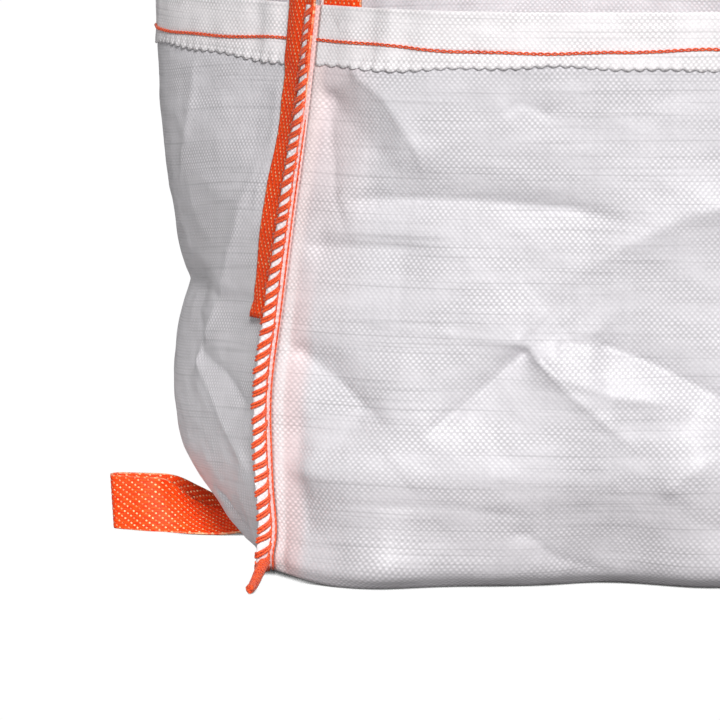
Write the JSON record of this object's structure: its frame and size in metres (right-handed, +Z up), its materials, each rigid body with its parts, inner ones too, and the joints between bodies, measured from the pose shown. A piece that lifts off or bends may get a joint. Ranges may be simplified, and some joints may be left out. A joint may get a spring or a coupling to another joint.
{
  "type": "mini bulk bag",
  "caption": "Open-top woven polypropylene bulk bag with webbing lift loops at its corners and tip straps at its base",
  "frame": {"origin": "middle of the base, on the floor", "axes": "+Z up, front towards -Y, the side panels on -X and +X"},
  "size_m": [0.9048, 0.7392, 0.6833],
  "materials": {
    "cloth": "plain-woven white polypropylene tape cloth, slightly glossy and translucent",
    "webbing": "orange polypropylene webbing with pale flecks"
  },
  "bodies": {
    "root": {"u_panel": "cloth", "side_panel_left": "cloth", "side_panel_right": "cloth", "lift_loop_front_left": "webbing", "lift_loop_front_right": "webbing", "lift_loop_back_left": "webbing", "lift_loop_back_right": "webbing", "tip_strap_left": "webbing", "tip_strap_right": "webbing"}
  },
  "joints": []
}
